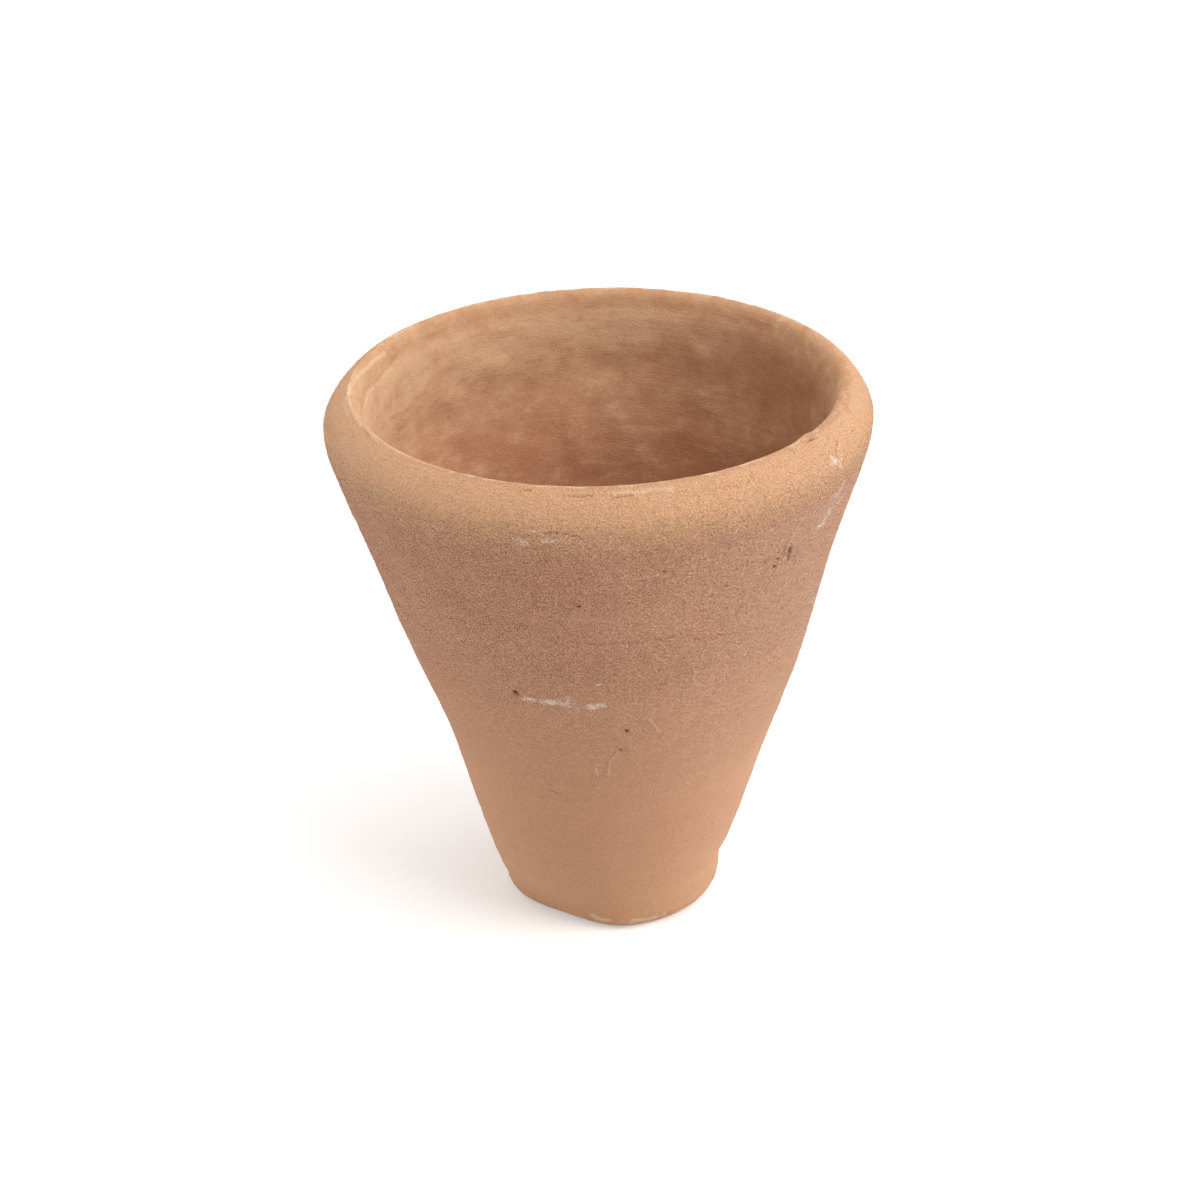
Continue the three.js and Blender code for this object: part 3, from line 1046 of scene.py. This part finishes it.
LIME_PLACES = {
    # line, half width, how thick
    "main streak, left": (((524, 699), (540, 701), (556, 702), (570, 706)), 0.7, 0.9),
    "main streak, tail": (((566, 698), (572, 703), (577, 708)), 0.6, 0.8),
    "main streak, bright end": (((588, 707), (595, 707), (604, 706)), 0.6, 1.0),
    "main streak, thin end": (((604, 707), (622, 708)), 0.35, 0.4),
    "speck above the streak": (((569, 685), (571, 685)), 0.25, 0.9),
    "second speck above the streak": (((597, 685), (600, 685)), 0.25, 0.9),
    "star on the roll": (((831, 458), (837, 463), (843, 468)), 0.5, 1.0),
    "second arm of the star": (((841, 457), (837, 463), (831, 464)), 0.45, 1.0),
    "middle of the star": (((835, 460), (839, 464)), 0.55, 1.0),
    "streak above the star": (((840, 443), (839, 449), (837, 455)), 0.26, 1.0),
    "spot beside the star": (((849, 461), (850, 464)), 0.25, 0.9),
    "right edge, upper": (((841, 498), (837, 503)), 0.35, 0.9),
    "right edge, middle": (((831, 510), (828, 515), (824, 520)), 0.7, 1.0),
    "right edge, lower": (((824, 523), (818, 529)), 0.35, 0.9),
    "right edge, faint": (((846, 480), (838, 495), (830, 508), (822, 524)), 1.0, 0.5),
    "dot under the roll, right": (((791, 529), (792, 529)), 0.18, 1.0),
    "under the roll, left": (((512, 536), (518, 540), (526, 545)), 0.6, 0.85),
    "under the roll, short": (((530, 531), (536, 532)), 0.3, 0.7),
    "under the crack": (((542, 540), (554, 540), (567, 543)), 0.6, 0.75),
    "pale patch under the roll": (((612, 537), (622, 544), (628, 553)), 1.2, 0.4),
    "faint field on the right": (((720, 690), (733, 702), (750, 692)), 1.2, 0.3),
    "left edge, upper": (((331, 456), (334, 464), (337, 471)), 0.5, 0.6),
    "left edge, lower": (((344, 473), (352, 480)), 0.5, 0.5),
    "left, faint": (((387, 514), (395, 525)), 0.8, 0.4),
    "spot on the left of the roll": (((396, 470), (398, 472)), 0.3, 0.6),
}


# %% [markdown]
# ## Find the scars on the clay
#
# A line of sight from the camera through a pixel meets the clay in one place, and there the scar
# stays from every side. A line that a hand scratched is never even, so it may wander a little
# and its strength comes and goes, by draws with a fixed seed.

# %% Find places on the clay
SWAY_KEPT, SWAY_STEP = 0.8, 0.6  # how much of the last sway stays, and pixels of new sway
STRENGTH_START, STRENGTH_PULL = 0.8, 0.35
WEAKEST, STRONGEST = 0.1, 1.3
skin_faces = BVHTree.FromPolygons(
    [vertex.co.copy() for vertex in pot_body.data.vertices],
    [tuple(face.vertices) for face in pot_body.data.polygons],
)
chance = random.Random(7)


def seen_line(pixels, wander):
    """Places on the clay along a line through pixels, about one for each pixel.

    The line may wander by some pixels, and each place has a strength, so that it comes and goes.
    """
    sway, strength, places = 0.0, STRENGTH_START, []
    for start, end in zip(pixels, pixels[1:]):
        steps = max(1, round(math.dist(start, end)))
        for step in range(steps + 1):
            sway = SWAY_KEPT * sway + wander * chance.uniform(-SWAY_STEP, SWAY_STEP)
            strength += STRENGTH_PULL * (chance.uniform(WEAKEST, STRONGEST) - strength)
            share = step / steps
            pixel = [a + (b - a) * share + sway for a, b in zip(start, end)]
            place, *_ = skin_faces.ray_cast(CAMERA_PLACE, sight_line(*pixel))
            if place is not None:
                places.append((place, min(1.0, strength) if wander else 1.0))
    return places


# %% List the scars with their places
PIT_LENGTH = Vector((1.5, 0.5))  # in pixels
WANDER = {"cut": 1.0, "ridge": 0.8, "worn": 0.7, "lime": 0.8}
CUT_DARKNESS = 0.3
RIDGE_WEAR = 0.45
scars = []  # places, half width and depth in metres, and how much of each look is in it


def add_scar(pixels, width, depth=0.0, wander=0.0, **looks):
    """Finds a scar on the clay and lists it. Width and depth are in millimetres."""
    scars.append((seen_line(pixels, wander), width * MM, depth * MM, looks))


for pixel, radius, depth, dark in PITS.values():
    add_scar((pixel, tuple(Vector(pixel) + PIT_LENGTH)), radius, depth, pit=dark)
for pixels, width, depth, dark in SLITS.values():
    add_scar(pixels, width, depth, pit=dark)
for pixels, width, depth in CUTS.values():
    add_scar(pixels, width, depth, WANDER["cut"], pit=CUT_DARKNESS)
for pixels, width, height in RIDGES.values():
    add_scar(pixels, width, -height, WANDER["ridge"], worn=RIDGE_WEAR)
for pixels, width, depth in FOOT_CHIPS.values():
    add_scar(pixels, width, depth, worn=1.0)
for pixel, radius, depth in PRESSES.values():
    add_scar((pixel, pixel), radius, depth)
for pixels, width, pale in WORN_AND_HIGHLIT_EDGES.values():
    add_scar(pixels, width, wander=WANDER["worn"], worn=pale)
for pixels, width, thick in LIME_PLACES.values():
    add_scar(pixels, width, wander=WANDER["lime"], lime=thick)
print("scars:", len(scars), "missed:", sum(not places for places, *_ in scars))

# %% [markdown]
# ## Cut the scars
#
# Most scars are narrower than the faces of the skin. A finer skin everywhere would cost far too
# many faces, so it is divided only near the small scars. Each point near a scar is then pushed
# in or out along its own normal, most in the middle, and keeps how dark, worn or limy it is. Some
# of the dark is painted shade, and some of the pale on the crest is a painted highlight.

# %% Divide the skin finer near the small scars
DIVIDINGS = 2
FINE_WIDTH = 0.55 * MM  # scars wider than this need no finer skin
LEAST_REACH = 0.35 * MM
FINE_REACH = 1.6  # half widths of the scar
LONGEST_EDGE = 0.55


def place_lookup(places):
    """A search tree that finds the points near a place."""
    lookup = KDTree(len(places))
    for i, place in enumerate(places):
        lookup.insert(place, i)
    lookup.balance()
    return lookup


fine_skin = bmesh.new()
fine_skin.from_mesh(pot_body.data)
for _ in range(DIVIDINGS):
    fine_skin.verts.ensure_lookup_table()
    lookup = place_lookup([vertex.co for vertex in fine_skin.verts])
    long_edges = set()
    for places, width, *_ in scars:
        if width > FINE_WIDTH:
            continue
        for place, _ in places:
            for _, i, _ in lookup.find_range(place, max(width * FINE_REACH, LEAST_REACH)):
                for edge in fine_skin.verts[i].link_edges:
                    if edge.calc_length() > width * LONGEST_EDGE:
                        long_edges.add(edge)
    bmesh.ops.subdivide_edges(
        fine_skin, edges=sorted(long_edges, key=lambda edge: edge.index), cuts=1,
        use_grid_fill=True,
    )
    fine_skin.edges.index_update()
many_sided = [face for face in fine_skin.faces if len(face.verts) > 4]
bmesh.ops.triangulate(fine_skin, faces=many_sided)
for face in fine_skin.faces:
    face.smooth = True
fine_skin.to_mesh(pot_body.data)
fine_skin.free()
pot_body.data.calc_loop_triangles()
print("triangles after dividing:", len(pot_body.data.loop_triangles))


# %% Measure how near the skin is to a scar
NEARNESS_REACH = 2.4  # half widths of the scar, where it has all but faded
NEARNESS_FADE = 1.4


def read_points(source, name):
    """The x, y and z of every point, as a table of three columns."""
    numbers = np.empty(len(source) * 3)
    source.foreach_get(name, numbers)
    return numbers.reshape(-1, 3)


mesh = pot_body.data
places_now = read_points(mesh.vertices, "co")
facing = read_points(mesh.vertex_normals, "vector")
lookup = place_lookup(places_now)


def nearness(places, width):
    """For each point of the skin near a line of places, how near it is, from 0 to 1."""
    near = {}
    for place, strength in places:
        for _, i, distance in lookup.find_range(place, width * NEARNESS_REACH):
            share = strength * math.exp(-(distance / width) ** 2 * NEARNESS_FADE)
            near[i] = max(near.get(i, 0.0), share)
    return near


print("points of the skin:", len(places_now))

# %% Press the scars into the clay
pushed = np.zeros(len(places_now))
marks = {name: np.zeros(len(places_now)) for name in ("pit", "worn", "lime")}
for places, width, depth, looks in scars:
    for i, share in nearness(places, width).items():
        pushed[i] += depth * share
        for name, value in looks.items():
            marks[name][i] = max(marks[name][i], value * share)
low, high = np.array(frame_low), np.array(frame_high)
places_now = np.clip(places_now - facing * pushed[:, None], low, high)
mesh.vertices.foreach_set("co", places_now.ravel())
for name, values in marks.items():
    write_zone(mesh, name, values)
mesh.update()
print("deepest scar, mm:", round(pushed.max() / MM, 2), "highest:", round(-pushed.min() / MM, 2))

# %% [markdown]
# ## Sand and lime, grain by grain
#
# The clay is opened with fine sand, and where lime came out of it or dried on it, it stands as
# tiny crusts. Both are real grains: a small uneven stone is placed many times over the skin,
# sunk in it. Geometry Nodes scatter them with a fixed seed, the sand over the outside, thinner
# on the rubbed foot, and the lime only where it was marked on the skin. Each grain is a low,
# uneven cone of six sides, shaded smooth, because there are thousands.

# %% The scattering tree
scattering = bpy.data.node_groups.new("scatter_grains", "GeometryNodeTree")
scattering.interface.new_socket("Skin", in_out="INPUT", socket_type="NodeSocketGeometry")
scattering.interface.new_socket("Grains", in_out="OUTPUT", socket_type="NodeSocketGeometry")
GRAIN_SOCKETS = {
    "Where": "NodeSocketString", "Per Square Metre": "NodeSocketFloat",
    "Smallest": "NodeSocketFloat", "Largest": "NodeSocketFloat", "Flatness": "NodeSocketFloat",
    "Seed": "NodeSocketInt", "Material": "NodeSocketMaterial",
}
grain_sockets = {
    name: scattering.interface.new_socket(name, in_out="INPUT", socket_type=kind)
    for name, kind in GRAIN_SOCKETS.items()
}
print("inputs of the scattering tree:", len(grain_sockets))

# %% Spread points over the skin
ZONE_EMPTY, ZONE_FULL = 0.3, 0.9  # numbers of the zone at no grains and at all of them

given = add_node(scattering, "NodeGroupInput").outputs
density = add_node(
    scattering, "GeometryNodeInputNamedAttribute", {"Name": given["Where"]}, data_type="FLOAT"
)
thick_only = add_node(
    scattering, "ShaderNodeMapRange",
    {"Value": density.outputs["Attribute"], "From Min": ZONE_EMPTY, "From Max": ZONE_FULL},
)
amount = add_node(
    scattering, "ShaderNodeMath", (thick_only, given["Per Square Metre"]), operation="MULTIPLY"
)
scattered = add_node(
    scattering, "GeometryNodeDistributePointsOnFaces",
    {"Mesh": given["Skin"], "Density": amount, "Seed": given["Seed"]},
    distribute_method="RANDOM",
)

# %% Make one uneven stone and place it on every point
STONE_SIDES = 6
STONE_HEIGHT = 1.6  # as shares of the stone's radius, like the two below
STONE_SUNK = 0.6
UNEVENNESS = Vector((0.3, 0.3, 0.2))

stone = add_node(
    scattering, "GeometryNodeMeshCone",
    {"Vertices": STONE_SIDES, "Radius Top": 0.0, "Radius Bottom": 1.0, "Depth": STONE_HEIGHT},
    fill_type="NGON",
)
sunk_stone = add_node(
    scattering, "GeometryNodeTransform",
    {"Geometry": stone.outputs["Mesh"], "Translation": (0.0, 0.0, -STONE_SUNK)},
)
unevenness = add_node(
    scattering, "FunctionNodeRandomValue", {0: -UNEVENNESS, 1: UNEVENNESS, "Seed": 5},
    data_type="FLOAT_VECTOR",
)
uneven_stone = add_node(
    scattering, "GeometryNodeSetPosition", {"Geometry": sunk_stone, "Offset": unevenness}
)
round_stone = add_node(scattering, "GeometryNodeSetShadeSmooth", {"Geometry": uneven_stone})
size = add_node(
    scattering, "FunctionNodeRandomValue",
    {2: given["Smallest"], 3: given["Largest"], "Seed": 11}, data_type="FLOAT",
)
spin = add_node(
    scattering, "FunctionNodeRandomValue",
    {0: (0.0, 0.0, 0.0), 1: (0.0, 0.0, FULL_TURN), "Seed": 3}, data_type="FLOAT_VECTOR",
)
spun = add_node(scattering, "FunctionNodeEulerToRotation", (spin,))
turned_stone = add_node(
    scattering, "FunctionNodeRotateRotation",
    (scattered.outputs["Rotation"], spun), rotation_space="LOCAL",
)
flat_size = add_node(
    scattering, "ShaderNodeMath", (size.outputs[1], given["Flatness"]), operation="MULTIPLY"
)
stone_size = add_node(
    scattering, "ShaderNodeCombineXYZ",
    {"X": size.outputs[1], "Y": size.outputs[1], "Z": flat_size},
)
placed = add_node(
    scattering, "GeometryNodeInstanceOnPoints",
    {"Points": scattered.outputs["Points"], "Instance": round_stone,
     "Rotation": turned_stone, "Scale": stone_size},
)
real_grains = add_node(scattering, "GeometryNodeRealizeInstances", (placed,))
dressed_grains = add_node(
    scattering, "GeometryNodeSetMaterial", {"Geometry": real_grains, "Material": given["Material"]}
)
add_node(scattering, "NodeGroupOutput", {"Grains": dressed_grains})
print("scattering nodes:", len(scattering.nodes))

# %% [markdown]
# ## Finishes of the grains
#
# The sand in the clay is quartz and crushed brick, fired with it, so it has the clay's colours,
# a little paler or darker from grain to grain. Lime is calcium carbonate, chalky white and
# matt, and slightly warm where the clay stains it.

# %% Sand and lime finishes
TONE_SIZE = 0.7 * MM  # about three grains
TONE_LOW, TONE_HIGH = 0.35, 0.65
CHALK_SIZE = 0.08 * MM
CHALK_DEPTH = 0.02 * MM
CHALK_STRENGTH = 0.3


def grain_finish(name, dark, pale, roughness):
    """A matt mineral whose colour changes from grain to grain."""
    finish = bare_material(name)
    tree = finish.node_tree
    spot_on_grain = add_node(tree, "ShaderNodeTexCoord").outputs["Object"]
    tone = add_node(
        tree, "ShaderNodeTexNoise",
        {"Vector": spot_on_grain, "Scale": 1 / TONE_SIZE, "Detail": 2.0},
    )
    stretched = add_node(
        tree, "ShaderNodeMapRange", {"Value": tone, "From Min": TONE_LOW, "From Max": TONE_HIGH}
    )
    colour = add_node(tree, "ShaderNodeMix", {0: stretched, 6: dark, 7: pale}, data_type="RGBA")
    chalk = add_node(
        tree, "ShaderNodeTexNoise", {"Vector": spot_on_grain, "Scale": 1 / CHALK_SIZE}
    )
    bump = add_node(
        tree, "ShaderNodeBump",
        {"Height": chalk, "Strength": CHALK_STRENGTH, "Distance": CHALK_DEPTH},
    )
    matt_grain = add_node(
        tree, "ShaderNodeBsdfPrincipled",
        {"Base Color": colour.outputs[2], "Roughness": roughness, "Normal": bump},
    )
    add_node(tree, "ShaderNodeOutputMaterial", {"Surface": matt_grain})
    return finish


sand_finish = grain_finish("fired_sand_and_grog", linear("c08b6d"), linear("dcab87"), 0.85)
lime_finish = grain_finish("chalky_lime_bloom", linear("dcc8b6"), linear("f3ebe2"), 0.95)
print("grain finishes:", sand_finish.name, lime_finish.name)

# %% Scatter the sand and the lime
SAND = {
    "Where": "sand", "Per Square Metre": 1.5e6, "Smallest": 0.1 * MM, "Largest": 0.24 * MM,
    "Flatness": 0.45, "Seed": 21, "Material": sand_finish,
}
LIME_CRUST = {
    "Where": "lime", "Per Square Metre": 24e6, "Smallest": 0.05 * MM, "Largest": 0.12 * MM,
    "Flatness": 0.5, "Seed": 8, "Material": lime_finish,
}
RUBBED_BELOW, SANDY_ABOVE = 20 * MM, 45 * MM  # heights
SAND_ON_FOOT, SAND_HIGHER = 0.3, 0.7
SAND_IN_ZONE, SAND_ANYWHERE = 0.75, 0.15


def zone_values(name):
    """The numbers that the skin carries for one zone."""
    values = np.empty(len(mesh.vertices), np.float32)
    mesh.attributes[name].data.foreach_get("value", values)
    return values


sandy_zone = zone_values("outside") * (1 - zone_values("standing")) * (1 - zone_values("bevel"))
sandy_zone *= SAND_ON_FOOT + SAND_HIGHER * smooth(places_now[:, 2], RUBBED_BELOW, SANDY_ABOVE)
write_zone(mesh, "sand", sandy_zone * SAND_IN_ZONE + SAND_ANYWHERE)
grain_pieces = []
for name, values in (("sand_grains", SAND), ("lime_crust", LIME_CRUST)):
    inputs = {grain_sockets[key].identifier: value for key, value in values.items()}
    piece = plain_mesh(mesh.copy(), scattering, inputs, name)
    for vertex in piece.data.vertices:  # none may stand out of the frame's box
        vertex.co = np.clip(vertex.co, low, high)
    piece.data.calc_loop_triangles()
    print(name, "triangles:", len(piece.data.loop_triangles))
    grain_pieces.append(piece)

# %% Finish
for piece in grain_pieces:
    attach(piece, "root")
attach(pot_body, "root")
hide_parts("pot")
